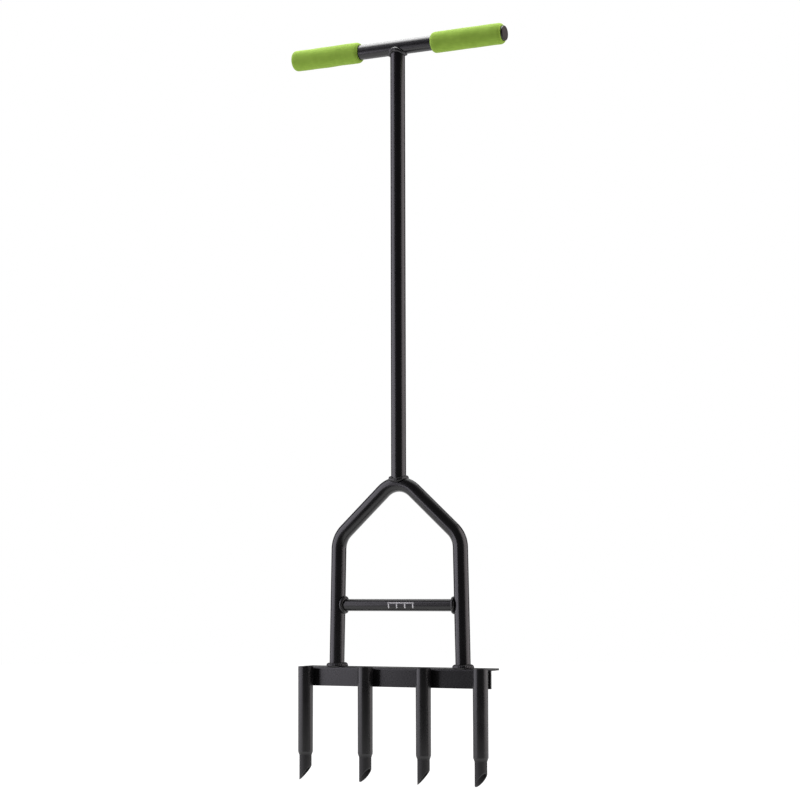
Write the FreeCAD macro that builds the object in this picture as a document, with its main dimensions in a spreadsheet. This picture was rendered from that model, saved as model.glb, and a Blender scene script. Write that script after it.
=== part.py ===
import FreeCAD, Part
import math
import os
import Sketcher
from FreeCAD import Rotation, Vector

# Hand core aerator: a T handle on a straight shaft, a forked foot piece with a step rung,
# and an angle-section bar that carries four hollow coring tines. Millimetres, +Z up.
# The origin is on the ground under the middle of the tool: Z = 0 is the lowest point of
# the tines, X runs along the handle and the tine bar, and -Y is the side of the tines.

SIZES = [
    ("tube_od", 19.05, "frame and tine tube, 3/4 in"),
    ("tube_wall", 1.5, "wall of every tube"),
    ("frame_y", 9.125, "plane that the shaft, fork and crossbar lie in"),
    ("crossbar_z", 938.0, "axis of the crossbar above the tine points"),
    ("crossbar_length", 301.8, "crossbar tube, without its end plugs"),
    ("plug_head", 1.5, "thickness of an end plug's head"),
    ("plug_edge", 0.6, "chamfer round the head"),
    ("plug_stem", 14.0, "how far an end plug goes into the tube"),
    ("plug_rib", 1.0, "height of the ribs round the stem"),
    ("plug_rib_width", 1.7, "their width along the stem"),
    ("grip_od", 27.0, "foam grip"),
    ("grip_length", 98.0, "foam grip"),
    ("grip_round", 3.5, "rounding of a grip's outer edges"),
    ("grip_left_inner", 54.0, "inner end of the left grip from the shaft's axis"),
    ("grip_right_inner", 51.0, "inner end of the right grip from the shaft's axis"),
    ("shaft_head_gap", 1.0, "the shaft's cope stops this far below the crossbar's axis"),
    ("shaft_foot_gap", 3.0, "and this far above the fork's axis"),
    ("apex_z", 372.5, "centreline of the fork tube at its top"),
    ("bend_radius", 31.75, "centreline radius of the three bends of the fork"),
    ("diagonal_tilt", 47.4, "fork's sloping runs, degrees from upright"),
    ("leg_splay", 1.1, "fork's legs, degrees from upright"),
    ("leg_half", 88.7, "half the distance between the legs at the tine bar"),
    ("rung_od", 15.2, "step rung tube"),
    ("rung_z", 220.0, "axis of the step rung"),
    ("bar_top", 142.5, "top face of the tine bar"),
    ("bar_height", 24.5, "upright flange of the tine bar"),
    ("bar_depth", 25.4, "flat flange of the tine bar"),
    ("bar_sheet", 2.5, "thickness of the tine bar"),
    ("bar_bend", 3.5, "outside radius of the tine bar's bend"),
    ("bar_half", 131.525, "half the length of the tine bar"),
    ("bar_face_y", -3.575, "front face of the tine bar, where the tines are welded"),
    ("tine_1_x", -122.0, "tine axes along the bar"),
    ("tine_2_x", -36.5, ""),
    ("tine_3_x", 44.5, ""),
    ("tine_4_x", 122.0, ""),
    ("tine_1_turn", 9.0, "degrees each tine's slanted mouth is turned about its axis"),
    ("tine_2_turn", -10.0, ""),
    ("tine_3_turn", 6.0, ""),
    ("tine_4_turn", -16.0, ""),
    ("tip_od", 15.55, "reduced lower end of a tine"),
    ("tip_length", 31.0, "straight part of the reduced end"),
    ("taper_length", 4.5, "swaged taper above it"),
    ("tip_rise", 18.5, "height of the slanted mouth from toe to heel"),
    ("bead", 2.6, "leg of the fillet welds"),
    ("tine_bead", 1.7, "radius of the straight beads between tine and bar"),
    ("tine_bead_sunk", 0.3, "how deep those beads bite into tine and bar"),
    ("tine_bead_inset", 2.5, "how far they stop short of the bar's edges"),
]

doc = FreeCAD.newDocument("core_aerator")
sheet = doc.addObject("Spreadsheet::Sheet", "Sizes")
for row, (alias, value, note) in enumerate(SIZES, start=1):
    sheet.set("A%d" % row, alias)
    sheet.set("B%d" % row, str(value))
    sheet.set("C%d" % row, note)
    sheet.setAlias("B%d" % row, alias)
doc.recompute()


def size(alias):
    return sheet.get(alias)


# ---- sketches -----------------------------------------------------------------------------

def new_body(label, x="0", y="0", z="0"):
    """A body whose place is bound to the sheet."""
    body = doc.addObject("PartDesign::Body", label)
    body.Label = label
    for axis, expression in zip("xyz", (x, y, z)):
        if expression != "0":
            body.setExpression("Placement.Base." + axis, expression)
    return body


def new_sketch(body, name, plane):
    """A sketch on one of the body's own origin planes."""
    sketch = body.newObject("Sketcher::SketchObject", name)
    support = next(p for p in body.Origin.OriginFeatures if p.Role == plane)
    sketch.AttachmentSupport = (support, [""])
    sketch.MapMode = "FlatFace"
    return sketch


def worked_out(expression):
    """The present value of an expression, as a plain number (degrees for an angle)."""
    result = sheet.evalExpression(expression)
    return getattr(result, "Value", result)


def bind(sketch, kind, *args):
    """A constraint whose last argument is an expression on the sheet."""
    geometry, expression = args[:-1], args[-1]
    start = worked_out(expression)
    if kind == "Angle":
        start = math.radians(start)
    index = sketch.addConstraint(Sketcher.Constraint(kind, *geometry, start))
    sketch.setExpression("Constraints[%d]" % index, expression)


def circles(sketch, *diameters):
    """Circles about the sketch's origin."""
    for diameter in diameters:
        radius = worked_out(diameter) / 2
        circle = sketch.addGeometry(Part.Circle(Vector(), Vector(0, 0, 1), radius))
        sketch.addConstraint(Sketcher.Constraint("Coincident", circle, 3, -1, 1))
        bind(sketch, "Diameter", circle, diameter)


def circle_at(sketch, up, diameter):
    """A circle on the sketch's upright axis."""
    centre = Vector(0, worked_out(up), 0)
    circle = sketch.addGeometry(Part.Circle(centre, Vector(0, 0, 1), worked_out(diameter) / 2))
    sketch.addConstraint(Sketcher.Constraint("PointOnObject", circle, 3, -2))
    bind(sketch, "DistanceY", -1, 1, circle, 3, up)
    bind(sketch, "Diameter", circle, diameter)


def outline(sketch, corners):
    """A closed outline of straight lines, each corner placed by two expressions."""
    points = [Vector(worked_out(across), worked_out(up), 0) for across, up in corners]
    lines = []
    for index, point in enumerate(points):
        following = points[(index + 1) % len(points)]
        lines.append(sketch.addGeometry(Part.LineSegment(point, following)))
    for index, line in enumerate(lines):
        following = lines[(index + 1) % len(lines)]
        sketch.addConstraint(Sketcher.Constraint("Coincident", line, 2, following, 1))
    for line, (across, up) in zip(lines, corners):
        for kind, axis, expression in (("DistanceX", -2, across), ("DistanceY", -1, up)):
            if expression == "0":
                sketch.addConstraint(Sketcher.Constraint("PointOnObject", line, 1, axis))
            else:
                bind(sketch, kind, -1, 1, line, 1, expression)
    return lines


# ---- features -----------------------------------------------------------------------------

def pad(body, sketch, length):
    """Extrude a sketch to both sides of its plane."""
    feature = body.newObject("PartDesign::Pad", body.Label + "_pad")
    feature.Profile = sketch
    feature.Midplane = True
    feature.setExpression("Length", length)
    return feature


def pocket_through(body, sketch, length):
    """Cut a sketch out to both sides of its plane."""
    feature = body.newObject("PartDesign::Pocket", sketch.Label + "_cut")
    feature.Profile = sketch
    feature.Midplane = True
    feature.setExpression("Length", length)
    return feature


def turned(body, sketch, kind, axis):
    """Revolve a sketch, or groove with it, all the way round one of its own axes."""
    feature = body.newObject("PartDesign::" + kind, sketch.Label + "_turned")
    feature.Profile = sketch
    feature.ReferenceAxis = (sketch, [axis])
    feature.Angle = 360.0
    return feature


BORE = "Sizes.tube_od - 2 * Sizes.tube_wall"
SIDES = (("left", -1), ("right", 1))
TINES = (1, 2, 3, 4)
PLUG_RIBS = (0.25, 0.55, 0.85)  # middles of an end plug's ribs, as parts of its stem
FORK_SPARE = 2.0  # the fork is swept this far past its feet, then cut level
SAME_PLACE = 1e-6


# ---- handle -------------------------------------------------------------------------------

def crossbar_tube():
    body = new_body("crossbar_tube", y="Sizes.frame_y", z="Sizes.crossbar_z")
    ring = new_sketch(body, "crossbar_section", "YZ_Plane")
    circles(ring, "Sizes.tube_od", BORE)
    pad(body, ring, "Sizes.crossbar_length")
    return body


def end_plug(side, sign):
    """A ribbed plug pressed into one end of the crossbar, its head flush with the tube."""
    body = new_body(
        "end_plug_" + side,
        x="%d * Sizes.crossbar_length / 2" % sign,
        y="Sizes.frame_y",
        z="Sizes.crossbar_z",
    )
    rim = "Sizes.tube_od / 2"
    fit = "(%s) / 2" % BORE
    root = fit + " - Sizes.plug_rib"

    def outwards(length):
        return "%d * (%s)" % (sign, length)

    def inwards(length):
        return "%d * (%s)" % (-sign, length)

    profile = new_sketch(body, "plug_profile_" + side, "XZ_Plane")
    face = outwards("Sizes.plug_head")
    steps = [(face, "0"), (face, rim + " - Sizes.plug_edge")]
    steps += [(outwards("Sizes.plug_head - Sizes.plug_edge"), rim), ("0", rim), ("0", root)]
    for rib in PLUG_RIBS:
        near = inwards("%g * Sizes.plug_stem - Sizes.plug_rib_width / 2" % rib)
        far = inwards("%g * Sizes.plug_stem + Sizes.plug_rib_width / 2" % rib)
        steps += [(near, root), (near, fit), (far, fit), (far, root)]
    end = inwards("Sizes.plug_stem")
    steps += [(end, root), (end, "0")]
    outline(profile, steps)
    turned(body, profile, "Revolution", "H_Axis")
    return body


def grip(side, sign):
    """A foam sleeve on the crossbar, its outer edges well rounded."""
    body = new_body(
        "grip_" + side,
        x="%d * (Sizes.grip_%s_inner + Sizes.grip_length / 2)" % (sign, side),
        y="Sizes.frame_y",
        z="Sizes.crossbar_z",
    )
    ring = new_sketch(body, "grip_section_" + side, "YZ_Plane")
    circles(ring, "Sizes.grip_od", "Sizes.tube_od")
    block = pad(body, ring, "Sizes.grip_length")
    doc.recompute()
    outer = size("grip_od") / 2
    rims = []
    for number, edge in enumerate(block.Shape.Edges, start=1):
        if isinstance(edge.Curve, Part.Circle) and abs(edge.Curve.Radius - outer) < SAME_PLACE:
            rims.append("Edge%d" % number)
    rounding = body.newObject("PartDesign::Fillet", "grip_rounding_" + side)
    rounding.Base = (block, rims)
    rounding.setExpression("Radius", "Sizes.grip_round")
    return body


# ---- shaft, fork and rung -----------------------------------------------------------------

def shaft_tube():
    """Upright tube, coped to the crossbar at its top and to the fork's top bend below."""
    body = new_body("shaft_tube", y="Sizes.frame_y", z="Sizes.apex_z + Sizes.shaft_foot_gap")
    rise = "(Sizes.crossbar_z - Sizes.apex_z - Sizes.shaft_foot_gap)"
    ring = new_sketch(body, "shaft_section", "XY_Plane")
    circles(ring, "Sizes.tube_od", BORE)
    tube = body.newObject("PartDesign::Pad", "shaft_pad")
    tube.Profile = ring
    tube.setExpression("Length", rise + " - Sizes.shaft_head_gap")

    head = new_sketch(body, "shaft_head_cope", "YZ_Plane")
    circle_at(head, rise, "Sizes.tube_od")
    pocket_through(body, head, "2 * Sizes.tube_od")

    foot = new_sketch(body, "shaft_foot_cope", "YZ_Plane")
    circle_at(foot, "-Sizes.shaft_foot_gap", "Sizes.tube_od")
    bend_z = "-(Sizes.shaft_foot_gap + Sizes.bend_radius)"
    reach = worked_out("Sizes.tube_od")
    ends = [Vector(side * reach, worked_out(bend_z), 0) for side in (-1, 1)]
    bend_axis = foot.addGeometry(Part.LineSegment(*ends), True)
    foot.addConstraint(Sketcher.Constraint("Symmetric", bend_axis, 1, bend_axis, 2, -2))
    bind(foot, "DistanceX", bend_axis, 1, bend_axis, 2, "2 * Sizes.tube_od")
    bind(foot, "DistanceY", -1, 1, bend_axis, 1, bend_z)
    turned(body, foot, "Groove", "Axis0")
    return body


def leg_x(z):
    """Distance of a leg's axis from the middle plane at height z."""
    return size("leg_half") - math.tan(math.radians(size("leg_splay"))) * (z - size("bar_top"))


def fork_points():
    """Where the fork's centreline changes from straight to bend, on its left side."""
    radius = size("bend_radius")
    tilt = math.radians(size("diagonal_tilt"))
    splay = math.radians(size("leg_splay"))
    crown_z = size("apex_z") - radius
    run_top = Vector(-radius * math.cos(tilt), crown_z + radius * math.sin(tilt), 0)
    peak_z = crown_z + radius / math.sin(tilt)
    shoulder_z = (peak_z * math.tan(tilt) - leg_x(0)) / (math.tan(tilt) - math.tan(splay))
    shoulder = Vector(-leg_x(shoulder_z), shoulder_z, 0)
    setback = radius * math.tan((tilt - splay) / 2)
    leg_top = shoulder + Vector(-math.sin(splay), -math.cos(splay), 0) * setback
    run_foot = shoulder + Vector(math.sin(tilt), math.cos(tilt), 0) * setback
    return leg_top, run_foot, run_top


def fork_tube():
    """One tube bent three times: sloping runs from the shaft to two almost upright legs."""
    body = new_body("fork_tube", y="Sizes.frame_y")
    leg_top, run_foot, run_top = fork_points()
    foot_z = size("bar_top") - FORK_SPARE
    foot = Vector(-leg_x(foot_z), foot_z, 0)

    def mirrored(point):
        return Vector(-point.x, point.y, 0)

    def arc(start, end, centre):
        middle = (start + end) * 0.5 - centre
        middle = centre + middle * (size("bend_radius") / middle.Length)
        return path.addGeometry(Part.Arc(start, middle, end))

    def line(start, end):
        return path.addGeometry(Part.LineSegment(start, end))

    def arc_end(curve, place):
        """Which end of an arc, 1 or 2, lies at a place."""
        return min((1, 2), key=lambda end: path.getPoint(curve, end).distanceToPoint(place))

    path = new_sketch(body, "fork_path", "XZ_Plane")
    splay = math.radians(size("leg_splay"))
    elbow_centre = leg_top + Vector(math.cos(splay), -math.sin(splay), 0) * size("bend_radius")
    crown_centre = Vector(0, size("apex_z") - size("bend_radius"), 0)
    leg = line(foot, leg_top)
    elbow = arc(leg_top, run_foot, elbow_centre)
    run = line(run_foot, run_top)
    crown = arc(run_top, mirrored(run_top), crown_centre)
    run_2 = line(mirrored(run_top), mirrored(run_foot))
    elbow_2 = arc(mirrored(run_foot), mirrored(leg_top), mirrored(elbow_centre))
    leg_2 = line(mirrored(leg_top), mirrored(foot))

    for kind, straight, end, bend, place in (
        ("Tangent", leg, 2, elbow, leg_top),
        ("Tangent", run, 1, elbow, run_foot),
        ("Tangent", run, 2, crown, run_top),
        ("Coincident", run_2, 1, crown, mirrored(run_top)),
        ("Coincident", run_2, 2, elbow_2, mirrored(run_foot)),
        ("Coincident", leg_2, 1, elbow_2, mirrored(leg_top)),
    ):
        other = arc_end(bend, place)
        path.addConstraint(Sketcher.Constraint(kind, straight, end, bend, other))
    for first, end, second, other in ((leg, 1, leg_2, 2), (leg, 2, leg_2, 1), (run, 1, run_2, 2)):
        path.addConstraint(Sketcher.Constraint("Symmetric", first, end, second, other, -2))
    path.addConstraint(Sketcher.Constraint("Horizontal", crown, 1, crown, 2))
    path.addConstraint(Sketcher.Constraint("PointOnObject", crown, 3, -2))
    for bend in (elbow, crown, elbow_2):
        bind(path, "Radius", bend, "Sizes.bend_radius")
    bind(path, "DistanceY", -1, 1, crown, 3, "Sizes.apex_z - Sizes.bend_radius")
    bind(path, "DistanceY", -1, 1, leg, 1, "Sizes.bar_top - %g" % FORK_SPARE)
    foot_x = "Sizes.leg_half + %g * tan(Sizes.leg_splay * 1deg)" % FORK_SPARE
    bind(path, "DistanceX", leg, 1, -1, 1, foot_x)
    bind(path, "Angle", leg, "(90 - Sizes.leg_splay) * 1deg")
    bind(path, "Angle", run, "(90 - Sizes.diagonal_tilt) * 1deg")
    doc.recompute()

    section = body.newObject("Sketcher::SketchObject", "fork_section")
    section.AttachmentSupport = [(path, "Edge1")]
    section.MapMode = "NormalToEdge"
    section.MapPathParameter = 0
    circles(section, "Sizes.tube_od", BORE)
    doc.recompute()
    tube = body.newObject("PartDesign::AdditivePipe", "fork_sweep")
    tube.Profile = section
    tube.Spine = (path, ["Edge%d" % number for number in range(1, 8)])
    doc.recompute()

    feet = new_sketch(body, "fork_feet", "XZ_Plane")
    reach = "Sizes.leg_half + Sizes.tube_od"
    below = "Sizes.bar_top - 2 * %g" % FORK_SPARE
    outline(feet, [
        ("-(%s)" % reach, below), (reach, below), (reach, "Sizes.bar_top"),
        ("-(%s)" % reach, "Sizes.bar_top"),
    ])
    pocket_through(body, feet, "2 * Sizes.tube_od")
    doc.recompute()
    return body


def rod(label, diameter, length, base, turn=None):
    """A solid cylinder from a base point, standing up or turned another way."""
    cylinder = doc.addObject("Part::Cylinder", label)
    cylinder.setExpression("Radius", "(%s) / 2" % diameter)
    cylinder.setExpression("Height", length)
    if turn:
        cylinder.Placement.Rotation = turn
    for axis, expression in zip("xyz", base):
        if expression != "0":
            cylinder.setExpression("Placement.Base." + axis, expression)
    return cylinder


ALONG_X = Rotation(Vector(0, 1, 0), 90)


def leg_rod(label, side, sign, diameter="Sizes.tube_od"):
    """A solid rod along a fork leg, from the bar's top to above the rung."""
    base = ("%d * Sizes.leg_half" % sign, "Sizes.frame_y", "Sizes.bar_top")
    length = "Sizes.rung_z - Sizes.bar_top + 3 * Sizes.tube_od"
    leg = rod(label + "_" + side, diameter, length, base, Rotation(Vector(0, -sign, 0), 1.0))
    leg.setExpression("Placement.Rotation.Angle", "Sizes.leg_splay")
    return leg


def rung_rod(label, diameter="Sizes.rung_od", length="2 * Sizes.leg_half"):
    """A solid rod along the step rung, from leg axis to leg axis."""
    base = ("-(%s) / 2" % length, "Sizes.frame_y", "Sizes.rung_z")
    return rod(label, diameter, length, base, ALONG_X)


def fused(label, *shapes):
    union = doc.addObject("Part::MultiFuse", label)
    union.Shapes = list(shapes)
    return union


def common(label, *shapes):
    overlap = doc.addObject("Part::MultiCommon", label)
    overlap.Shapes = list(shapes)
    return overlap


def cut(label, base, tool):
    remainder = doc.addObject("Part::Cut", label)
    remainder.Base = base
    remainder.Tool = tool
    return remainder


def foot_rung():
    """Thinner tube across the fork for the foot, coped to both legs."""
    bore = rung_rod("rung_bore", "Sizes.rung_od - 2 * Sizes.tube_wall", "3 * Sizes.leg_half")
    legs = [leg_rod("rung_cope", side, sign) for side, sign in SIDES]
    return cut("foot_rung", rung_rod("rung_blank"), fused("rung_tools", bore, *legs))


# ---- tine bar and tines -------------------------------------------------------------------

def tine_bar():
    """Sheet bent to an angle: one flange upright behind the tines, one flat on top."""
    body = new_body("tine_bar", y="Sizes.bar_face_y", z="Sizes.bar_top")
    profile = new_sketch(body, "angle_section", "YZ_Plane")
    depth = "Sizes.bar_depth"
    low = "-Sizes.bar_height"
    gauge = "Sizes.bar_sheet"
    outline(profile, [
        ("0", "0"), ("0", low), (gauge, low), (gauge, "-" + gauge), (depth, "-" + gauge),
        (depth, "0"),
    ])
    block = pad(body, profile, "2 * Sizes.bar_half")
    doc.recompute()

    def long_edge(y, z):
        """The edge that runs the length of the bar at a place in its section."""
        for number, edge in enumerate(block.Shape.Edges, start=1):
            start, end = [vertex.Point for vertex in edge.Vertexes]
            runs_along = abs(start.x - end.x) > size("bar_half")
            if runs_along and math.hypot(start.y - y, start.z - z) < SAME_PLACE:
                return "Edge%d" % number

    inside = size("bar_sheet")
    bends = [
        (long_edge(0, 0), "Sizes.bar_bend"),
        (long_edge(inside, -inside), "Sizes.bar_bend - Sizes.bar_sheet"),
    ]
    for edge, radius in bends:
        before = body.Tip
        bend = body.newObject("PartDesign::Fillet", "angle_bend")
        bend.Base = (before, [edge])
        bend.setExpression("Radius", radius)
        doc.recompute()
    return body


def tine(number):
    """Hollow tine: tube to the top of the bar, open above, swaged and cut slanting below."""
    body = new_body("tine_%d" % number, x="Sizes.tine_%d_x" % number,
                    y="Sizes.bar_face_y - Sizes.tube_od / 2")
    body.setExpression("Placement.Rotation.Angle", "Sizes.tine_%d_turn" % number)
    body.Placement.Rotation = Rotation(Vector(0, 0, 1), 1.0)
    wide = "Sizes.tube_od / 2"
    slim = "Sizes.tip_od / 2"
    neck = "Sizes.tip_length + Sizes.taper_length"
    wall = " - Sizes.tube_wall"
    profile = new_sketch(body, "tine_wall_%d" % number, "XZ_Plane")
    outline(profile, [
        (slim, "0"), (slim, "Sizes.tip_length"), (wide, neck), (wide, "Sizes.bar_top"),
        (wide + wall, "Sizes.bar_top"), (wide + wall, neck), (slim + wall, "Sizes.tip_length"),
        (slim + wall, "0"),
    ])
    turned(body, profile, "Revolution", "V_Axis")
    doc.recompute()
    mouth = new_sketch(body, "tine_mouth_%d" % number, "XZ_Plane")
    below = "-0.5 * Sizes.tip_rise"
    outline(mouth, [
        ("-" + slim, "0"), ("-" + slim, below), ("Sizes.tip_od", below),
        ("Sizes.tip_od", "Sizes.tip_rise * 1.5"),
    ])
    pocket_through(body, mouth, "2 * Sizes.tube_od")
    return body


# ---- welds --------------------------------------------------------------------------------
# A fillet weld fills the corner between two parts: it is what lies within the weld's leg of
# both surfaces, outside both parts.

def collar(label, part_a, part_b):
    """A weld all round a joint. Each part is a function of a label and an added diameter."""
    leg = " + 2 * Sizes.bead"
    reach = common(label + "_reach", part_a(label + "_a_reach", leg), part_b(label + "_b_reach", leg))
    inside = fused(label + "_parts", part_a(label + "_a", ""), part_b(label + "_b", ""))
    return cut(label, reach, inside)


def crossbar_weld():
    """Saddle weld between the shaft's head and the underside of the crossbar."""
    def crossbar(label, more):
        base = ("-2 * Sizes.tube_od", "Sizes.frame_y", "Sizes.crossbar_z")
        return rod(label, "Sizes.tube_od" + more, "4 * Sizes.tube_od", base, ALONG_X)

    def shaft(label, more):
        base = ("0", "Sizes.frame_y", "Sizes.crossbar_z - 2 * Sizes.tube_od")
        return rod(label, "Sizes.tube_od" + more, "2 * Sizes.tube_od", base)

    return collar("weld_crossbar_shaft", crossbar, shaft)


def fork_weld():
    """Saddle weld between the shaft's foot and the fork's top bend."""
    def fork(label, more):
        bend = doc.addObject("Part::Torus", label)
        bend.setExpression("Radius1", "Sizes.bend_radius")
        bend.setExpression("Radius2", "(Sizes.tube_od%s) / 2" % more)
        bend.Placement.Rotation = Rotation(Vector(1, 0, 0), 90)
        bend.setExpression("Placement.Base.y", "Sizes.frame_y")
        bend.setExpression("Placement.Base.z", "Sizes.apex_z - Sizes.bend_radius")
        return bend

    def shaft(label, more):
        base = ("0", "Sizes.frame_y", "Sizes.apex_z + 0.5 * Sizes.shaft_foot_gap")
        return rod(label, "Sizes.tube_od" + more, "2 * Sizes.tube_od", base)

    return collar("weld_shaft_fork", fork, shaft)


def rung_weld(side, sign):
    """Collar where the rung meets the inner side of a leg."""
    def leg(label, more):
        return leg_rod(label, side, sign, "Sizes.tube_od" + more)

    def rung(label, more):
        base = ("0", "Sizes.frame_y", "Sizes.rung_z")
        return rod(label, "Sizes.rung_od" + more, "Sizes.leg_half", base,
                   Rotation(Vector(0, 1, 0), sign * 90))

    return collar("weld_rung_" + side, leg, rung)


def leg_weld(side, sign):
    """Ring around the foot of a leg, on the bar's flat flange."""
    label = "weld_leg_" + side
    flat = doc.addObject("Part::Box", label + "_on_bar")
    flat.setExpression("Length", "3 * Sizes.tube_od")
    flat.setExpression("Width", "Sizes.bar_depth")
    flat.setExpression("Height", "Sizes.bead")
    flat.setExpression("Placement.Base.x", "%d * Sizes.leg_half - 1.5 * Sizes.tube_od" % sign)
    flat.setExpression("Placement.Base.y", "Sizes.bar_face_y")
    flat.setExpression("Placement.Base.z", "Sizes.bar_top")
    reach = leg_rod(label + "_reach", side, sign, "Sizes.tube_od + 2 * Sizes.bead")
    ring = common(label + "_ring", flat, reach)
    return cut(label, ring, leg_rod(label + "_tube", side, sign))


def tine_weld(number):
    """Two straight beads up the grooves between a tine and the bar's front face."""
    label = "weld_tine_%d" % number
    off = "(Sizes.tine_bead - Sizes.tine_bead_sunk)"
    low = "Sizes.bar_top - Sizes.bar_height + Sizes.tine_bead_inset"
    length = "Sizes.bar_height - 2 * Sizes.tine_bead_inset"
    beads = []
    for side, sign in SIDES:
        x = "Sizes.tine_%d_x + %d * 2 * sqrt(Sizes.tube_od / 2 * %s)" % (number, sign, off)
        base = (x, "Sizes.bar_face_y - " + off, low)
        beads.append(rod(label + "_" + side, "2 * Sizes.tine_bead", length, base))
    base = ("Sizes.tine_%d_x" % number, "Sizes.bar_face_y - Sizes.tube_od / 2", "0")
    tube = rod(label + "_tube", "Sizes.tube_od", "Sizes.bar_top", base)
    face = doc.addObject("Part::Box", label + "_behind_face")
    face.setExpression("Length", "2 * Sizes.tube_od")
    face.setExpression("Width", "Sizes.bar_depth")
    face.setExpression("Height", "Sizes.bar_top")
    face.setExpression("Placement.Base.x", "Sizes.tine_%d_x - Sizes.tube_od" % number)
    face.setExpression("Placement.Base.y", "Sizes.bar_face_y")
    return cut(label, fused(label + "_beads", *beads), fused(label + "_parts", tube, face))


# ---- the whole tool -----------------------------------------------------------------------

nodes = [crossbar_tube(), shaft_tube(), fork_tube(), foot_rung(), tine_bar()]
nodes += [end_plug(side, sign) for side, sign in SIDES]
nodes += [grip(side, sign) for side, sign in SIDES]
nodes += [tine(number) for number in TINES]
nodes += [crossbar_weld(), fork_weld()]
nodes += [rung_weld(side, sign) for side, sign in SIDES]
nodes += [leg_weld(side, sign) for side, sign in SIDES]
nodes += [tine_weld(number) for number in TINES]
doc.recompute()

for thing in doc.Objects:
    if "Invalid" in thing.State or "Error" in thing.State:
        raise SystemExit("%s failed to build: %s" % (thing.Label, thing.State))
for node in nodes:
    if node.Shape.isNull() or not node.Shape.isValid() or not node.Shape.Solids:
        raise SystemExit("%s has no sound solid" % node.Label)

os.makedirs("parts", exist_ok=True)
for node in nodes:
    node.Shape.exportStep("parts/%s.step" % node.Label)
    box = node.Shape.optimalBoundingBox()
    print("%-20s %8.0f mm3, z %.1f to %.1f" % (node.Label, node.Shape.Volume, box.ZMin, box.ZMax))
print(len(nodes), "nodes")
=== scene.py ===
# %% [markdown]
# # A hand core aerator
# A lawn tool that a person steps on: a T handle with foam grips, a straight shaft, a forked
# foot piece with a rung to tread on, and a bar that carries hollow tines in a row. The tubes,
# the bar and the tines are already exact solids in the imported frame, so this lesson does what
# a paint shop and a welder would: it gives them powder coat, lays rippled weld beads, slips
# on the foam grips and sets up the light.

# %% Load the frame
import math

import bpy
import numpy as np
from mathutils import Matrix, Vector


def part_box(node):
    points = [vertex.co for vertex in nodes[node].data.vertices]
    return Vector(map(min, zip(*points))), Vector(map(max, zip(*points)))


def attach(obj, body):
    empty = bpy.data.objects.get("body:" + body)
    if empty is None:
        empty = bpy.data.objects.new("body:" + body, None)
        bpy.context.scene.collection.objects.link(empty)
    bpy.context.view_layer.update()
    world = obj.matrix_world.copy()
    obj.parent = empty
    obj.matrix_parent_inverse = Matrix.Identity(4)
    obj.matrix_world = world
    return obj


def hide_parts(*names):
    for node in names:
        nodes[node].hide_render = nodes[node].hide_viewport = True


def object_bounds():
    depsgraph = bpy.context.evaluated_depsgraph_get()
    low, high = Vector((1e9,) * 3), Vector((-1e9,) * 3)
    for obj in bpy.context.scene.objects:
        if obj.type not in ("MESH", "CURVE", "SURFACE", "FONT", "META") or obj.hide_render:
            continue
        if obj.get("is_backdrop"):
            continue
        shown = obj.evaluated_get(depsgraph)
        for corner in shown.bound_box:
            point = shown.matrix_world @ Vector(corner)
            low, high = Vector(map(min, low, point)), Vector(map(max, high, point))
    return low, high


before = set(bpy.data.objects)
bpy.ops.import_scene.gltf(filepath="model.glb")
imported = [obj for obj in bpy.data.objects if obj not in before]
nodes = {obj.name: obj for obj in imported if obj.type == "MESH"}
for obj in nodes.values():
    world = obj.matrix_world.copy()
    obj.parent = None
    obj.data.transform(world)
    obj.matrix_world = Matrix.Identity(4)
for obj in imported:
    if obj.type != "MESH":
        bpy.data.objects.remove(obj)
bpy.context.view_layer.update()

MM = 0.001

# %% [markdown]
# ## Measures taken from the frame
# Every new piece has to sit exactly on the solids, so radii and axes are read from the boxes
# of the nodes. Only what a box can't tell, the radius of the fork's bends and the slope of
# its legs, is written down here.

# %% Radii, axes and heights
def middle(node):
    """The middle of a node's box."""
    low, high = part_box(node)
    return (np.array(low) + np.array(high)) / 2


def extent(node):
    """The size of a node's box along each axis."""
    low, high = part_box(node)
    return np.array(high) - np.array(low)


FRAME_Y = middle("crossbar_tube")[1]
TUBE = extent("crossbar_tube")[2] / 2
CROSSBAR_Z = middle("crossbar_tube")[2]
RUNG = extent("foot_rung")[2] / 2
RUNG_Z = middle("foot_rung")[2]
APEX_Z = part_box("fork_tube")[1][2] - TUBE
LEG_X = middle("weld_leg_right")[0]
BAR_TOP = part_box("tine_bar")[1][2]
BAR_FACE_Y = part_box("tine_bar")[0][1]
BEND = 31.75 * MM
LEG_SPLAY = math.radians(1.1)
TINES = ["tine_1", "tine_2", "tine_3", "tine_4"]
print("tube radius mm:", round(TUBE / MM, 3), "apex mm:", round(APEX_Z / MM, 2))
print("leg mm:", round(LEG_X / MM, 2), "bar top mm:", round(BAR_TOP / MM, 2))

# %% [markdown]
# ## Camera
# The tool is nearly a metre tall. It is looked at from two and a half metres through a long
# lens, which keeps a tall shape free of distortion, from the height of the rung and round to
# the right, so that the slant of the tines' mouths shows. Shifting the lens would bring the
# handle into view too, but a shift stays when the camera moves, so the camera tips up instead.

# %% Camera
def look_along(thing, place, target):
    """Put thing at place and point its -Z axis at target."""
    thing.location = place
    thing.rotation_euler = (Vector(target) - Vector(place)).to_track_quat("-Z", "Y").to_euler()


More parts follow.
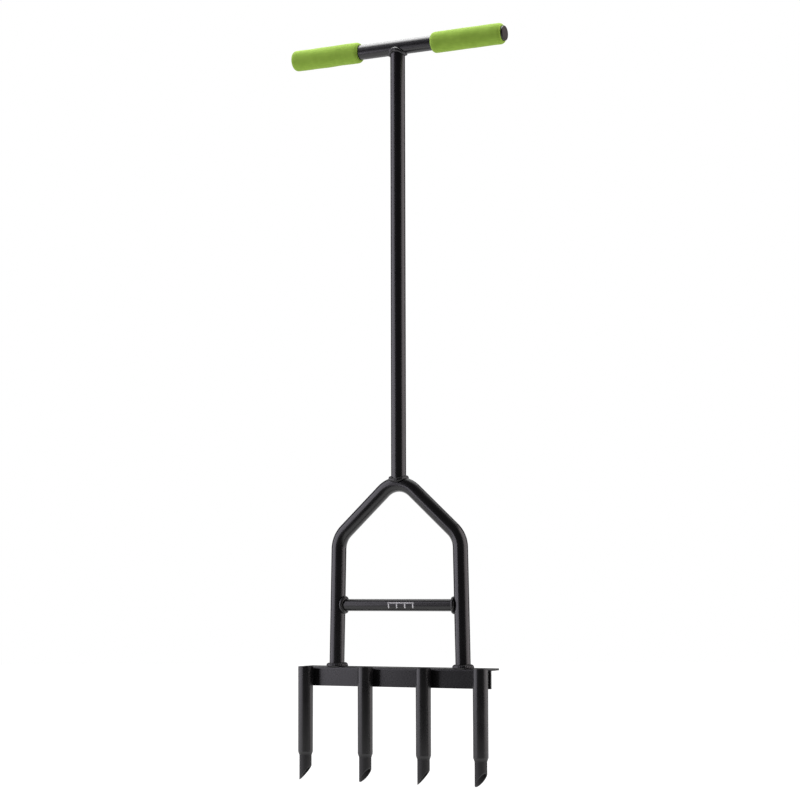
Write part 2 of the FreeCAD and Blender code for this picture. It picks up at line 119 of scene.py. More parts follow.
AZIMUTH = math.radians(26.57)
TIP_UP = math.radians(5.395)
ROLL = math.radians(-0.14)
DISTANCE = 2.5564
AIM = Vector((0.0022, FRAME_Y, 0.4797))
LENS_MM = 90.4
SENSOR_MM = 36
back = Vector((math.sin(AZIMUTH), -math.cos(AZIMUTH), 0)) * math.cos(TIP_UP)
back.z = -math.sin(TIP_UP)
camera_data = bpy.data.cameras.new("camera")
camera_data.lens = LENS_MM
camera_data.sensor_width = SENSOR_MM
camera = bpy.data.objects.new("camera", camera_data)
bpy.context.collection.objects.link(camera)
look_along(camera, AIM + back * DISTANCE, AIM)
camera.rotation_euler.rotate_axis("Z", ROLL)
bpy.context.scene.camera = camera
print("camera at", [round(c, 3) for c in camera.location])

# %% [markdown]
# ## Overhead light
# Black gloss paint shows hardly any colour of its own: what the eye reads is the studio
# mirrored in it. So the light is laid out as a product photographer would, starting with a
# soft ceiling. A large area lamp could make it, but a sun lamp with a wide angle lights the
# floor evenly to its far end, and no edge of light shows. There are two: a weak one that
# leans back, for the whole tool, and a strong one for the handle alone, which a photographer
# gets by flagging a lamp off from the rest. It is linked to the handle near the end of this
# lesson, once the handle's pieces are there.

# %% Ceiling and handle light
# The Standard view shows light as it is, so white stays white.
bpy.context.scene.view_settings.view_transform = "Standard"


def overhead(name, width, brightness, lean):
    """A round patch of sky, width degrees across, that leans back from straight overhead by
    lean degrees. Its energy is the brightness, a radiance, times pi times the squared sine
    of half the width: the light that such a patch drops on a level floor."""
    data = bpy.data.lights.new(name, "SUN")
    data.angle = math.radians(width)
    data.energy = brightness * math.pi * math.sin(data.angle / 2) ** 2
    lamp = bpy.data.objects.new(name, data)
    bpy.context.collection.objects.link(lamp)
    tip = math.tan(math.radians(lean))
    look_along(lamp, (-math.sin(AZIMUTH) * tip, math.cos(AZIMUTH) * tip, 1), (0, 0, 0))
    return lamp


ceiling = overhead("ceiling", width=62, brightness=1.5, lean=28)
handle_light = overhead("handle_light", width=76, brightness=5.4, lean=6)
print("energy:", [round(lamp.data.energy, 2) for lamp in (ceiling, handle_light)])

# %% [markdown]
# ## Softboxes
# A tall softbox stands to each side, and each draws a bright stripe down every tube. Their
# whites differ a little, as two lamps in a studio do. A slim card low on the left adds to the
# stripe on the legs and tines, and a weak reflector low in front lifts the underside of the
# handle. Panels that glow would serve as well, but area lamps give less grain, and the camera
# can be kept from seeing them.

# %% Softboxes and reflector
def softbox(name, turn, reach, width, height, brightness, tint=(1, 1, 1)):
    """An upright panel of light, standing on the floor. turn is its direction from the
    tool in degrees, 0 towards the camera. Its energy is the brightness times pi times its
    area, so that a larger panel of the same brightness looks no dimmer."""
    data = bpy.data.lights.new(name, "AREA")
    data.shape = "RECTANGLE"
    data.size = width
    data.size_y = height
    data.energy = brightness * math.pi * width * height
    data.color = tint
    panel = bpy.data.objects.new(name, data)
    bpy.context.collection.objects.link(panel)
    direction = AZIMUTH + math.radians(turn)
    place = Vector((math.sin(direction), -math.cos(direction), 0)) * reach
    place.z = height / 2
    look_along(panel, place, (0, 0, height / 2))
    panel.visible_camera = False
    return panel


COOL = (1.0, 0.96, 1.08)
WARM = (1.0, 0.92, 0.94)
softbox("softbox_left", turn=-89, reach=1.7, width=1.75, height=2.6, brightness=2.3, tint=COOL)
softbox("softbox_right", turn=85, reach=1.7, width=2.0, height=2.6, brightness=2.25, tint=WARM)
softbox("low_card_left", turn=-59, reach=1.05, width=0.17, height=0.75, brightness=2.3, tint=COOL)

REFLECTOR_Z = 0.35
reflector = softbox("handle_reflector", turn=0, reach=0.42, width=1.1, height=1.0, brightness=0.6)
reflector.location.z = REFLECTOR_Z
look_along(reflector, reflector.location, (0, FRAME_Y, CROSSBAR_Z))

# %% [markdown]
# ## Room
# The backdrop is plain white, yet the room in front of the tool is dark, and that leaves the
# deep black line down the middle of every tube. In a studio this is a white wall behind and
# black cloth in front. Both could be built, but the world alone does it: white to the camera,
# and dark to every other ray. Its few nodes need two helpers that all the materials use too.

# %% White backdrop and dark room
def add(tree, kind, inputs=(), **settings):
    """Add a shader node: settings are its properties, inputs are values or other sockets."""
    node = tree.nodes.new("ShaderNode" + kind)
    for name, value in settings.items():
        setattr(node, name, value)
    for name, value in dict(inputs).items():
        if isinstance(value, bpy.types.NodeSocket):
            tree.links.new(value, node.inputs[name])
        else:
            node.inputs[name].default_value = value
    return node


def linear(colour):
    """sRGB hex to linear: a channel c up to 0.04045 is c / 12.92, above it
    ((c + 0.055) / 1.055) to the power 2.4."""
    channels = np.array([int(colour[i:i + 2], 16) for i in (1, 3, 5)]) / 255
    bright = ((channels + 0.055) / 1.055) ** 2.4
    return (*np.where(channels <= 0.04045, channels / 12.92, bright).tolist(), 1.0)


ROOM = 0.07
world = bpy.data.worlds.new("studio")
bpy.context.scene.world = world
world.use_nodes = True
tree = world.node_tree
tree.nodes.clear()
seen = add(tree, "LightPath").outputs["Is Camera Ray"]
level = add(tree, "MapRange", {"Value": seen, "To Min": ROOM, "To Max": 1.0})
backdrop = add(tree, "Background", {
    "Color": linear("#FFFFFF"), "Strength": level.outputs["Result"],
})
add(tree, "OutputWorld", {"Surface": backdrop.outputs["Background"]})
print("room brightness:", ROOM)

# %% [markdown]
# ## Floor
# The floor is a white table that ends a step in front of the tool, so the front of every tube
# mirrors the dark room and not the table. Lamps overhead could make it as white as the
# backdrop, but they would be strong enough to burn out the grips. So the table glows, as a
# sheet of opal acrylic does with lamps under it, and no horizon shows where it ends.

# %% Glowing table
TABLE_FRONT = 0.40
TABLE_BACK = 4.0
TABLE_HALF = 2.5
right = Vector((math.cos(AZIMUTH), math.sin(AZIMUTH), 0))
away = Vector((-math.sin(AZIMUTH), math.cos(AZIMUTH), 0))
corners = [right * x + away * y for x, y in (
    (-TABLE_HALF, -TABLE_FRONT), (TABLE_HALF, -TABLE_FRONT),
    (TABLE_HALF, TABLE_BACK), (-TABLE_HALF, TABLE_BACK))]
floor_mesh = bpy.data.meshes.new("floor")
floor_mesh.from_pydata(corners, [], [(0, 1, 2, 3)])
floor = bpy.data.objects.new("floor", floor_mesh)
bpy.context.collection.objects.link(floor)
floor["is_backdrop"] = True


def new_material(name):
    """An empty material with a Principled shader; gives the material, its tree and shader."""
    material = bpy.data.materials.new(name)
    material.use_nodes = True
    shader = material.node_tree.nodes["Principled BSDF"]
    return material, material.node_tree, shader


# Matt opal acrylic, lit from below. Cast sheet is a little uneven over a hand's width.
UNEVEN = 125 * MM
GLOW = 0.97
acrylic, tree, shader = new_material("backlit_opal_acrylic")
place = add(tree, "TexCoord").outputs["Object"]
patches = add(tree, "TexNoise", {"Vector": place, "Scale": 1 / UNEVEN, "Detail": 2.0})
tone = add(tree, "MixRGB", {
    "Fac": patches.outputs["Fac"], "Color1": linear("#7A7A79"), "Color2": linear("#7F7F7E"),
})
tree.links.new(tone.outputs["Color"], shader.inputs["Base Color"])
shader.inputs["Roughness"].default_value = 0.9
shader.inputs["Emission Color"].default_value = linear("#FFFFFF")
shader.inputs["Emission Strength"].default_value = GLOW
floor_mesh.materials.append(acrylic)
print("table in m:", 2 * TABLE_HALF, "by", TABLE_FRONT + TABLE_BACK, "glow:", GLOW)

# %% [markdown]
# ## Black powder coat
# Everything of steel is painted with semi-gloss black powder: plastic powder sprayed on dry
# and baked until it flows. The coat is a plastic skin, so it is a dielectric with an IOR near
# 1.5, not a metal. It never flows quite flat, and that faint orange peel softens the edges of
# every reflection. The peel could be cut into the meshes, but it is far too shallow to show in
# an outline, so noise for bump and for roughness does all of it.

# %% Powder coat
# Peel waves are one to three millimetres wide and a micrometre or two deep.
PEEL = 1.6 * MM
PEEL_DEPTH = 0.0015 * MM
# The gloss wanders a little where the powder lies thicker or thinner.
CLOUD = 25 * MM
# Noise hardly leaves the span between these two, so that span is what gets stretched.
NOISE_LOW = 0.3
NOISE_HIGH = 0.7


def powder_coat(name, gloss, dull):
    """Semi-gloss black: roughness wanders between gloss and dull in patches of CLOUD."""
    material, tree, shader = new_material(name)
    place = add(tree, "TexCoord").outputs["Object"]
    cloud = add(tree, "TexNoise", {"Vector": place, "Scale": 1 / CLOUD, "Detail": 3.0})
    peel = add(tree, "TexNoise", {"Vector": place, "Scale": 1 / PEEL, "Detail": 2.0})
    tone = add(tree, "MixRGB", {
        "Fac": cloud.outputs["Fac"], "Color1": linear("#0D0C0E"), "Color2": linear("#121112"),
    })
    rough = add(tree, "MapRange", {
        "Value": cloud.outputs["Fac"], "From Min": NOISE_LOW, "From Max": NOISE_HIGH,
        "To Min": gloss, "To Max": dull,
    })
    bump = add(tree, "Bump", {
        "Height": peel.outputs["Fac"], "Strength": 1.0, "Distance": PEEL_DEPTH,
    })
    tree.links.new(tone.outputs["Color"], shader.inputs["Base Color"])
    tree.links.new(rough.outputs["Result"], shader.inputs["Roughness"])
    tree.links.new(bump.outputs["Normal"], shader.inputs["Normal"])
    shader.inputs["IOR"].default_value = 1.5
    return material, tree, shader


coat, _, _ = powder_coat("semi_gloss_black_powder_coat", gloss=0.25, dull=0.29)
print("peel mm:", PEEL / MM, "patches mm:", CLOUD / MM)

# %% [markdown]
# ## Tine finish
# The tines wear the same powder, but their lower ends are squeezed to a smaller diameter in a
# die and cut slanting, and the powder lies thinner and duller on that worked steel. The ends
# could have a material of their own, but a hard line would show where it starts. So the same
# coat is used, and height in the piece's own coordinates makes it rougher: the change eases
# in over the tapered length.

# %% Powder coat on the tines
TAPER_FOOT = 31 * MM
TAPER_HEAD = 36 * MM
WORKED_ROUGHNESS = 0.70
tine_coat, tree, shader = powder_coat("powder_coat_on_tines", gloss=0.26, dull=0.31)
upper_rough = shader.inputs["Roughness"].links[0].from_socket
place = add(tree, "TexCoord").outputs["Object"]
height = add(tree, "SeparateXYZ", {"Vector": place}).outputs["Z"]
worked = add(tree, "MapRange", {
    "Value": height, "From Min": TAPER_HEAD, "From Max": TAPER_FOOT,
    "To Min": 0.0, "To Max": 1.0,
}, interpolation_type="SMOOTHSTEP")
rough = add(tree, "Mix", {
    "Factor": worked.outputs["Result"], "A": upper_rough, "B": WORKED_ROUGHNESS,
})
tree.links.new(rough.outputs[0], shader.inputs["Roughness"])

for name, node in nodes.items():
    finish = tine_coat if name in TINES else coat
    for slot in node.material_slots:
        slot.material = finish
print("painted:", len(nodes), "nodes,", len(TINES), "of them tines")

# %% [markdown]
# ## Building a surface from a grid
# Every new piece here is a grid of points worked out by a formula: one parameter runs along
# the piece and the other round it. Blender's own circles and curves could be bent to shape,
# but a grid holds ripples and rolled ends in one mesh. One function turns such grids into a
# mesh, closes it where the grid wraps or ends in a pole, and turns the faces outwards.

# %% Grids to mesh
def grid_faces(rows, columns, ring):
    """Quads of a grid whose columns always wrap; its rows wrap too when ring is true."""
    last = rows if ring else rows - 1
    row, column = np.meshgrid(np.arange(last), np.arange(columns), indexing="ij")
    following, beside = (row + 1) % rows, (column + 1) % columns
    corners = [row * columns + column, row * columns + beside,
               following * columns + beside, following * columns + column]
    return np.stack([c.ravel() for c in corners], axis=1)


def pole_faces(first, columns, pole, turned):
    """Triangles from one ring of points to a pole."""
    start = first + np.arange(columns)
    end = first + (np.arange(columns) + 1) % columns
    order = [start, end] if turned else [end, start]
    return np.stack(order + [np.full(columns, pole)], axis=1)


def signed_volume(points, cells):
    """Six times the volume inside the faces: the sum over their triangles of a . (b x c).
    It is negative when the faces point inwards."""
    return sum(
        np.einsum("ij,ij->i", points[c[:, 0]], np.cross(points[c[:, k]], points[c[:, k + 1]])).sum()
        for c in cells for k in range(1, c.shape[1] - 1))


def build(name, grids, ring, material):
    """One piece from closed grids, each (rows, columns, xyz); open rows end in poles."""
    points, faces, base = [], [], 0
    for grid in grids:
        rows, columns, _ = grid.shape
        flat = grid.reshape(-1, 3)
        cells = [grid_faces(rows, columns, ring)]
        if not ring:
            flat = np.vstack([flat, grid[0].mean(axis=0), grid[-1].mean(axis=0)])
            cells.append(pole_faces(0, columns, rows * columns, False))
            cells.append(pole_faces((rows - 1) * columns, columns, rows * columns + 1, True))
        outwards = signed_volume(flat, cells) > 0
        for c in cells:
            faces += ((c if outwards else c[:, ::-1]) + base).tolist()
        points.append(flat)
        base += len(flat)
    mesh = bpy.data.meshes.new(name)
    mesh.from_pydata(np.vstack(points).tolist(), [], faces)
    mesh.shade_smooth()
    mesh.materials.append(material)
    piece = bpy.data.objects.new(name, mesh)
    bpy.context.collection.objects.link(piece)
    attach(piece, "root")
    print(name, "faces:", len(faces))
    return piece


print("a ring of 3 rows and 4 columns has", len(grid_faces(3, 4, True)), "faces")

# %% [markdown]
# ## Weld beads
# The joints are arc welded, and a welder's bead is a rope of metal laid in the corner between
# two pieces, with a ripple for each time the pool froze: a stack of overlapping scales. The
# plain fillets of the frame could be bump mapped, but the ripples stand in the outline of the
# joint, so the bead is built: a round section carried along the seam's curve.

# %% A rippled bead along a seam
BEAD = 2.5 * MM
BEAD_SIDES = 20
# One ripple: its length, its height and its lag at the sides. A skew below 1 moves its crest
# towards its start, so that the scales seem to overlap.
RIPPLE = 1.7 * MM
RIPPLE_DEPTH = 0.11
RIPPLE_LAG = 0.55
RIPPLE_SKEW = 0.6
# The hand isn't steady: the bead swells and thins a few times along the seam.
SWELL = 0.045
SWELL_WAVES = (2, 3, 5, 8)
# Where a closed seam meets its own start the welder fills the crater, which leaves a lump.
LUMP = 0.22
LUMP_LENGTH = 2.2
# The last ring of an open bead, as a share of its radius.
END_RING = 0.02


def unit(vectors):
    """Vectors of length one along the given ones."""
    return vectors / np.linalg.norm(vectors, axis=-1, keepdims=True)


def bead(path, outward, closed, seed, size=BEAD):
    """A round section carried along path. Its radius is size, times one plus a skewed
    ripple that repeats every RIPPLE and lags towards the sides, plus slow swells. A closed
    bead has a lump where it stops, and the ends of an open bead close like half a ball.
    outward points away from the corner."""
    chance = np.random.default_rng(seed)
    if closed:
        step = np.roll(path, -1, axis=0) - np.roll(path, 1, axis=0)
        gaps = np.linalg.norm(np.roll(path, -1, axis=0) - path, axis=1)
        travelled = np.concatenate([[0], np.cumsum(gaps)[:-1]])
        length = gaps.sum()
    else:
        step = np.gradient(path, axis=0)
        gaps = np.linalg.norm(np.diff(path, axis=0), axis=1)
        travelled = np.concatenate([[0], np.cumsum(gaps)])
        length = travelled[-1]
    tangent = unit(step)
    side = unit(np.cross(tangent, outward))
    outward = np.cross(side, tangent)
    turn = np.linspace(0, 2 * np.pi, BEAD_SIDES, endpoint=False)[None, :]
    share = (travelled / length)[:, None]
    phase = (share * round(length / RIPPLE) - RIPPLE_LAG * np.sin(turn) ** 2) % 1.0
    ripple = np.sin(np.pi * phase ** RIPPLE_SKEW) * RIPPLE_DEPTH
    swell = np.zeros_like(share)
    for wave in SWELL_WAVES:
        height, shift = chance.normal(0, SWELL), chance.uniform(0, 2 * np.pi)
        swell = swell + height * np.cos(2 * np.pi * wave * share + shift)
    sizes = np.broadcast_to(size, len(path))[:, None]
    radius = sizes * (1 + ripple + swell)
    if closed:
        stop = chance.uniform(0, 1)
        apart = np.abs((share - stop + 0.5) % 1.0 - 0.5) * length / (LUMP_LENGTH * sizes)
        radius = radius * (1 + LUMP * np.exp(-apart ** 2))
    else:
        to_end = np.minimum(np.minimum(share, 1 - share) * length / sizes, 1)
        radius = radius * np.sqrt(np.clip(1 - (1 - to_end) ** 2, END_RING ** 2, 1))
    around = np.cos(turn)[..., None] * outward[:, None] + np.sin(turn)[..., None] * side[:, None]
    return path[:, None] + radius[..., None] * around


print("bead radius mm:", BEAD / MM, "ripple mm:", RIPPLE / MM)

# %% [markdown]
# ## Saddle beads at the ends of the shaft
# Two round tubes meet along a saddle. Seen from the shaft, at an angle a round it, the seam
# between tubes of one size lies below the crossbar's axis by the radius times the size of
# cos a. That curve has a sharp corner front and back, which a torch can't follow: it lays a
# rounder seam. So the cosine is replaced by its square between two chosen ends. The seam on
# the fork's crown is the same, only there the tube is bent, and a circle's formula gives the
# height over the middle of the bend.

# %% Saddle beads
ROUND_STEPS = 360
# BITE is how far a seam lies outside a tube, and SHAFT_BITE the same for the shaft.
BITE = 1.0 * MM
SHAFT_BITE = 0.6 * MM
angle = np.linspace(0, 2 * np.pi, ROUND_STEPS, endpoint=False)
nought = np.zeros_like(angle)
reach = TUBE + BITE
shaft_normal = np.stack([np.cos(angle), np.sin(angle), nought], axis=1)
ring_xy = shaft_normal * (TUBE + SHAFT_BITE) + (0, FRAME_Y, 0)

# The bead is a little thinner front and back, where the corner between the tubes opens.
THIN = 0.94
saddle_size = BEAD * (THIN + (1 - THIN) * np.abs(np.cos(angle)))


def rounded_cosine(front, side):
    """Goes from front, at the front and back of the shaft, to side, at its two sides, with
    the squared cosine of the angle."""
    return front + (side - front) * np.cos(angle) ** 2


drop = reach * rounded_cosine(front=0.45, side=0.85)
top = ring_xy + np.stack([nought, nought, CROSSBAR_Z - drop], axis=1)
off_crossbar = unit((top - (0, FRAME_Y, CROSSBAR_Z)) * (0, 1, 1))
saddle = bead(top, unit(shaft_normal + off_crossbar), True, 3, saddle_size)
piece = build("bead_crossbar_shaft", [saddle], True, coat)
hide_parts("weld_crossbar_shaft")

# Height over the middle of the bend: the root of its radius squared, plus twice its radius
# times the reach times the cosine.
bend_z = APEX_Z - BEND
rise = np.sqrt(BEND ** 2 + 2 * BEND * reach * rounded_cosine(front=0.52, side=0.90))
low = ring_xy + np.stack([nought, nought, bend_z + rise], axis=1)
from_bend = (low - (0, FRAME_Y, bend_z)) * (1, 0, 1)
off_fork = unit(low - (0, FRAME_Y, bend_z) - unit(from_bend) * BEND)
saddle = bead(low, unit(shaft_normal + off_fork), True, 8, saddle_size)
piece = build("bead_shaft_fork", [saddle], True, coat)
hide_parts("weld_shaft_fork")

# %% [markdown]
# ## Collars at the ends of the rung
# The rung is a thinner tube let into both legs, so its seam is nearly a circle. It could be
# laid as one, but a true seam leans round the leg, and from the side that lean shows. Each
# point goes round the rung, and moves out to where the leg's surface is at that depth: the
# root of the leg's radius squared, less the depth squared. The torch flattens that a little.

# %% Collar of the rung
COLLAR_BEAD = 2.3 * MM
COLLAR_FLAT = 0.68


def leg_x(z):
    """Distance of a leg's axis from the middle plane at height z."""
    return LEG_X - math.tan(LEG_SPLAY) * (z - BAR_TOP)


def collar(sign):
    """The bead round one end of the rung: sign is -1 for the left end and 1 for the right."""
    y, z = (RUNG + BITE) * np.cos(angle), (RUNG + BITE) * np.sin(angle)
    in_leg = np.sqrt(reach ** 2 - (COLLAR_FLAT * y) ** 2)
    x = leg_x(RUNG_Z + z) - in_leg
    seam = np.stack([sign * x, FRAME_Y + y, RUNG_Z + z], axis=1)
    off_leg = np.stack([-sign * in_leg, y, nought], axis=1)
    off_rung = np.stack([nought, y, z], axis=1)
    return bead(seam, unit(unit(off_leg) + unit(off_rung)), True, 20 + sign, COLLAR_BEAD)


print("at the rung a leg leans in by mm:", round((LEG_X - leg_x(RUNG_Z)) / MM, 2))

# %% [markdown]
# ## Rings at the feet of the legs
# Each leg stands on the bar's flat flange, and a heavier bead runs round its foot: this joint
# takes the whole weight of the person who steps on the rung. The legs lean by so little there
# that a circle is the true seam. One loop then lays the collar and the ring of each leg.

# %% Foot ring, and both beads of each leg
FOOT_BEAD = 3.2 * MM
FOOT_OUT = 0.4 * MM
FOOT_UP = 0.9 * MM


def foot_ring(sign):
    """The bead round the foot of a leg: a circle FOOT_OUT off the tube, FOOT_UP off the bar."""
    circle = shaft_normal * (TUBE + FOOT_OUT) + (sign * LEG_X, FRAME_Y, BAR_TOP + FOOT_UP)
    return bead(circle, unit(shaft_normal + (0, 0, 1)), True, 30 + sign, FOOT_BEAD)


for side, sign in (("left", -1), ("right", 1)):
    piece = build("bead_rung_" + side, [collar(sign)], True, coat)
    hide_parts("weld_rung_" + side)
    piece = build("bead_leg_" + side, [foot_ring(sign)], True, coat)
    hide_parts("weld_leg_" + side)

# %% [markdown]
# ## Straight beads beside the tines
# A tine touches the bar's upright face along one line, and a bead on each side fills the
# narrow corner between the round tube and the flat face. The same function lays them: the path
# is a straight line, STAND_OFF in front of the face. The tube's surface is that far from the
# face at the root of twice its radius times STAND_OFF to the side, so the line goes there.

# %% Straight beads
STRAIGHT_STEPS = 120
STRAIGHT_BEAD = 1.7 * MM
STAND_OFF = 1.4 * MM
INSET = 2.5 * MM
bar_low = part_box("tine_bar")[0][2]
up = np.linspace(bar_low + INSET, BAR_TOP - INSET, STRAIGHT_STEPS)
level_with_face = np.full_like(up, BAR_FACE_Y - STAND_OFF)
for number, tine in enumerate(TINES):
    axis = np.array([middle(tine)[0], BAR_FACE_Y - TUBE, 0])
    pair = []
    for sign in (-1, 1):
        aside = axis[0] + sign * math.sqrt(2 * TUBE * STAND_OFF)
        line = np.stack([np.full_like(up, aside), level_with_face, up], axis=1)
        outward = unit(unit(line * (1, 1, 0) - axis) + (0, -1, 0))
        pair.append(bead(line, outward, False, 40 + 2 * number + sign, STRAIGHT_BEAD))
    piece = build("beads_" + tine, pair, False, coat)
    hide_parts("weld_" + tine)

# %% [markdown]
# ## Foam
# The grips are closed-cell foam, coloured right through. Its skin is cut and buffed, so it
# scatters light like velvet and stays bright at the edges. A plain matt green would look like
# painted wood: a little sheen gives the velvet, a slow mottle gives the uneven cells, and fine
# pits break up the light.

# %% Foam material
# Real cells are about half a millimetre, and are drawn at 0.9 mm so that they show.
CELL = 0.9 * MM
PIT_DEPTH = 0.12 * MM
MOTTLE = 9 * MM
foam, tree, shader = new_material("lime_green_closed_cell_foam")
place = add(tree, "TexCoord").outputs["Object"]
cells = add(tree, "TexVoronoi", {"Vector": place, "Scale": 1 / CELL})
mottle = add(tree, "TexNoise", {"Vector": place, "Scale": 1 / MOTTLE, "Detail": 4.0})
tone = add(tree, "MixRGB", {
    "Fac": mottle.outputs["Fac"], "Color1": linear("#71912B"), "Color2": linear("#8DAD42"),
})
pits = add(tree, "Bump", {
    "Height": cells.outputs["Distance"], "Strength": 0.6, "Distance": PIT_DEPTH,
})
tree.links.new(tone.outputs["Color"], shader.inputs["Base Color"])
tree.links.new(pits.outputs["Normal"], shader.inputs["Normal"])
shader.inputs["Roughness"].default_value = 0.85
shader.inputs["Specular IOR Level"].default_value = 0.25
shader.inputs["Sheen Weight"].default_value = 0.22
shader.inputs["Sheen Roughness"].default_value = 0.35
shader.inputs["Sheen Tint"].default_value = linear("#FFEFB4")
print("cells mm:", CELL / MM, "mottle mm:", MOTTLE / MM)

# %% [markdown]
# ## Foam grips
# Each grip is a sleeve pushed on over the tube with soap or air. Foam has no sharp edges: the
# ends bulge and roll in towards the tube, and a dark line shows between foam and steel. Firm
# foam on a round tube has nothing to sag or drape, so no cloth is simulated. The sleeve is a
# profile turned round the crossbar, with shallow swells so that it doesn't look machined.

# %% Grip sleeves
END_ALONG = 5.0 * MM
END_DEEP = 3.3 * MM
LIP = 0.5 * MM
TURNED_STEPS = 96
FOAM_SWELL = 0.07 * MM
FOAM_WAVES = 7
# A wave may start anywhere in about a full turn, in radians.
ANY_START = 6.3


def arc(start, stop, steps):
    """Angles from start to stop, given in degrees."""
    return np.radians(np.linspace(start, stop, steps))


def sleeve_profile(half, outer, inner):
    """Closed loop of (distance along, radius): a straight run outside, elliptical shoulders
    END_ALONG long and END_DEEP deep, a small lip, and the bore inside."""
    t = arc(90, 0, steps=14)
    shoulder = np.stack([
        half - END_ALONG + END_ALONG * np.cos(t), outer - END_DEEP + END_DEEP * np.sin(t),
    ], axis=1)
    t = arc(0, -90, steps=6)
    lip = np.stack([half - LIP + LIP * np.cos(t), inner + LIP + LIP * np.sin(t)], axis=1)
    right_end = np.vstack([shoulder, lip])
    outside = np.linspace(-(half - END_ALONG), half - END_ALONG, 70)[1:-1]
    inside = np.linspace(half - LIP, -(half - LIP), 20)[1:-1]
    return np.vstack([
        np.stack([outside, np.full_like(outside, outer)], axis=1), right_end,
        np.stack([inside, np.full_like(inside, inner)], axis=1),
        (right_end * (-1, 1))[::-1],
    ])


def turn_profile(profile, centre, swells=None):
    """Turn (distance along, radius) round the X axis through centre. swells, a function of
    the distance and the angle, adds to the radius."""
    v = np.linspace(0, 2 * np.pi, TURNED_STEPS, endpoint=False)
    along, radius = profile[:, :1], profile[:, 1:]
    if swells is not None:
        radius = radius + swells(along, v[None, :])
    x = centre[0] + along + 0 * v
    return np.stack([x, centre[1] + radius * np.cos(v), centre[2] + radius * np.sin(v)], axis=2)


def foam_swells(half, chance):
    """A function of the distance along and the angle round: FOAM_WAVES slow waves added up,
    each FOAM_SWELL high, with one to three full waves along and none to three round."""
    waves = [(chance.integers(1, 4), chance.integers(0, 4), chance.uniform(0, ANY_START, 2))
             for _ in range(FOAM_WAVES)]
    return lambda along, v: FOAM_SWELL * sum(
        np.cos(n * np.pi * along / half + a) * np.cos(k * v + b) for n, k, (a, b) in waves)


for number, side in enumerate(("left", "right")):
    node = "grip_" + side
    half = extent(node)[0] / 2
    swells = foam_swells(half, np.random.default_rng(50 + number))
    profile = sleeve_profile(half, extent(node)[2] / 2, TUBE)
    sleeve = turn_profile(profile, middle(node), swells)
    piece = build("foam_" + node, [sleeve], True, foam)
    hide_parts(node)

# %% [markdown]
# ## Plug plastic
# A plug of polyethylene closes each end of the crossbar. It is moulded against steel that was
# shaped by sparks, which leaves a satin face with a fine, even grain: noise in the colour and
# in the bump, both of one size. The specular level is low, because polyethylene is waxy.

# %% Moulded polyethylene
# Real spark grain is about a tenth of a millimetre, and is drawn at 0.6 mm so that it shows.
GRAIN = 0.6 * MM
GRAIN_DEPTH = 0.03 * MM
plastic, tree, shader = new_material("moulded_polyethylene")
place = add(tree, "TexCoord").outputs["Object"]
grain = add(tree, "TexNoise", {"Vector": place, "Scale": 1 / GRAIN, "Detail": 2.0})
tone = add(tree, "MixRGB", {
    "Fac": grain.outputs["Fac"], "Color1": linear("#272120"), "Color2": linear("#302927"),
})
rub = add(tree, "Bump", {
    "Height": grain.outputs["Fac"], "Strength": 0.7, "Distance": GRAIN_DEPTH,
})
tree.links.new(tone.outputs["Color"], shader.inputs["Base Color"])
tree.links.new(rub.outputs["Normal"], shader.inputs["Normal"])
shader.inputs["Roughness"].default_value = 0.55
shader.inputs["IOR"].default_value = 1.51
shader.inputs["Specular IOR Level"].default_value = 0.22
print("grain mm:", GRAIN / MM)

# %% [markdown]
# ## End plugs
# Injection moulded heads have a soft rim and a face that is a touch domed, because a flat face
# would sink as it cools. Behind the head a stem with three ribs grips the inside of the tube.
# Head and stem could be two pieces joined, but they are moulded in one, so they are one
# profile turned round the tube's axis. It starts on the axis, deep in the tube, and ends in
# the middle of the face.

# %% Plugs
HEAD = 1.5 * MM
EDGE = 1.0 * MM
DOME = 0.5 * MM
STEM_LENGTH = 14.0 * MM
STEM = 7.0 * MM
RIB = 8.0 * MM
RIB_STARTS = np.array([-12.7, -8.5, -4.3]) * MM
RIB_SLOPE = 0.3 * MM
RIB_FLAT = 1.0 * MM
# A hole this small at each end of the profile is closed by a pole.
PIN_HOLE = 0.05 * MM
UNDER_HEAD = 9.4 * MM

stem = [(-STEM_LENGTH, PIN_HOLE), (-STEM_LENGTH, STEM)]
for start in RIB_STARTS:
    crest = start + RIB_SLOPE
    stem += [(start, STEM), (crest, RIB), (crest + RIB_FLAT, RIB),
             (crest + RIB_FLAT + RIB_SLOPE, STEM)]
stem += [(0, STEM), (0, UNDER_HEAD)]

t = arc(0, 90, steps=8)
rim = np.stack([HEAD - DOME - EDGE + EDGE * np.sin(t), TUBE - EDGE + EDGE * np.cos(t)], axis=1)
across = np.linspace(TUBE - EDGE, PIN_HOLE, 14)[1:]
face = np.stack([HEAD - DOME * (across / (TUBE - EDGE)) ** 2, across], axis=1)
profile = np.vstack([stem, rim, face])
tube_end = extent("crossbar_tube")[0] / 2
for side, sign in (("left", -1), ("right", 1)):
    turned = turn_profile(profile * (sign, 1), (sign * tube_end, FRAME_Y, CROSSBAR_Z))
    piece = build("plug_" + side, [turned], False, plastic)
    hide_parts("end_plug_" + side)

# %% [markdown]
# ## Printed mark
# A small white mark is printed on the front of the rung. Here it is a plain sign for the
# tool: a bar with four strokes under it. Ink has almost no thickness, but a shape without
# any would fight with the paint below, so each stroke is a thin pillow that follows the
# rung's curve and sinks back into it at its border.

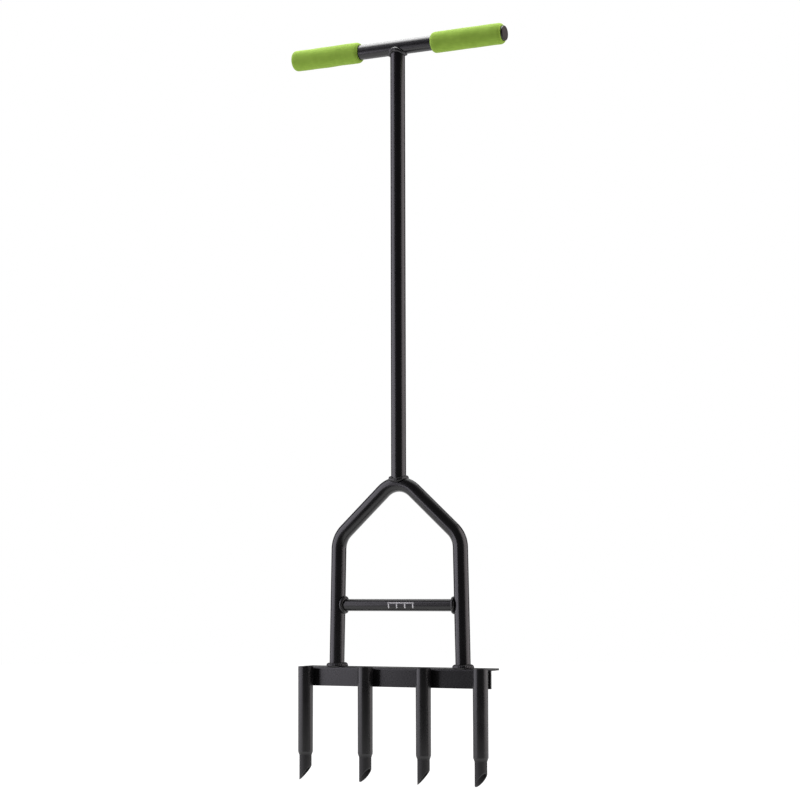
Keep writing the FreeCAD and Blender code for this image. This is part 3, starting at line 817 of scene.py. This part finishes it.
# %% Ink
# Screen ink lies a little thinner here and there, in specks about a millimetre wide.
SPECK = 1.2 * MM
ink, tree, shader = new_material("white_screen_ink")
place = add(tree, "TexCoord").outputs["Object"]
cover = add(tree, "TexNoise", {"Vector": place, "Scale": 1 / SPECK, "Detail": 3.0})
tone = add(tree, "MixRGB", {
    "Fac": cover.outputs["Fac"], "Color1": linear("#B9B9B8"), "Color2": linear("#DDDDDC"),
})
tree.links.new(tone.outputs["Color"], shader.inputs["Base Color"])
shader.inputs["Roughness"].default_value = 0.45
print("specks mm:", SPECK / MM)

# %% [markdown]
# ## Strokes of the mark
# Each stroke is a stack of rings. They grow from the middle of the upper side to the border,
# and shrink again to the middle of the hidden side. The ring is a super-ellipse, whose corners
# are rounder than a rectangle's, as ink that has run a little is.

# %% Ink strokes
INK_PROUD = 0.06 * MM
SQUARENESS = 0.4
MARK_X = 6.0 * MM
BAR_WIDTH, BAR_HEIGHT, BAR_UP = 40 * MM, 1.5 * MM, 2.9 * MM
STROKE_WIDTH, STROKE_HEIGHT, STROKE_UP = 1.9 * MM, 6.0 * MM, -1.1 * MM
STROKE_PLACES = np.array([-17, -5.7, 5.7, 17]) * MM


def signed_power(wave):
    """The size of wave to the power SQUARENESS, with the sign of wave."""
    return np.sign(wave) * np.abs(wave) ** SQUARENESS


def stroke(x, z, width, height):
    """A rounded pillow on the rung: rings of a super-ellipse go from the middle out and back,
    while the radius from the rung's axis falls from INK_PROUD outside the paint to as much
    inside it."""
    v = np.linspace(0, 2 * np.pi, 40, endpoint=False)[None, :]
    share = np.concatenate([np.linspace(0.02, 1, 8), np.linspace(1, 0.02, 8)])[:, None]
    lift = np.concatenate([np.linspace(1, 0.4, 7), [-0.5], np.full(8, -1.0)])[:, None]
    across = share * signed_power(np.cos(v)) * width / 2
    turn = (z + share * signed_power(np.sin(v)) * height / 2) / RUNG
    radius = RUNG + INK_PROUD * lift
    return np.stack([
        MARK_X + x + across, FRAME_Y - radius * np.cos(turn), RUNG_Z + radius * np.sin(turn),
    ], axis=2)


strokes = [stroke(0, BAR_UP, BAR_WIDTH, BAR_HEIGHT)]
strokes += [stroke(x, STROKE_UP, STROKE_WIDTH, STROKE_HEIGHT) for x in STROKE_PLACES]
build("printed_mark", strokes, False, ink)

# %% [markdown]
# ## Light for the handle alone
# The strong overhead light and the reflector are meant for the handle. Weaker lamps placed
# closer would do it too, but their light would fall off along the handle. Light linking keeps
# it even: a lamp lights only the collection that it is given.

# %% Light linking
handle = bpy.data.collections.new("handle")
handle.objects.link(nodes["crossbar_tube"])
for name in ("foam_grip_left", "foam_grip_right", "plug_left", "plug_right", "bead_crossbar_shaft"):
    handle.objects.link(bpy.data.objects[name])
for lamp in (handle_light, reflector):
    lamp.light_linking.receiver_collection = handle

# %% [markdown]
# ## Size of the pieces
# The box that the visual pieces fill is printed, in millimetres.

low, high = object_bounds()
print("box in mm:", [round((h - l) / MM, 1) for l, h in zip(low, high)])
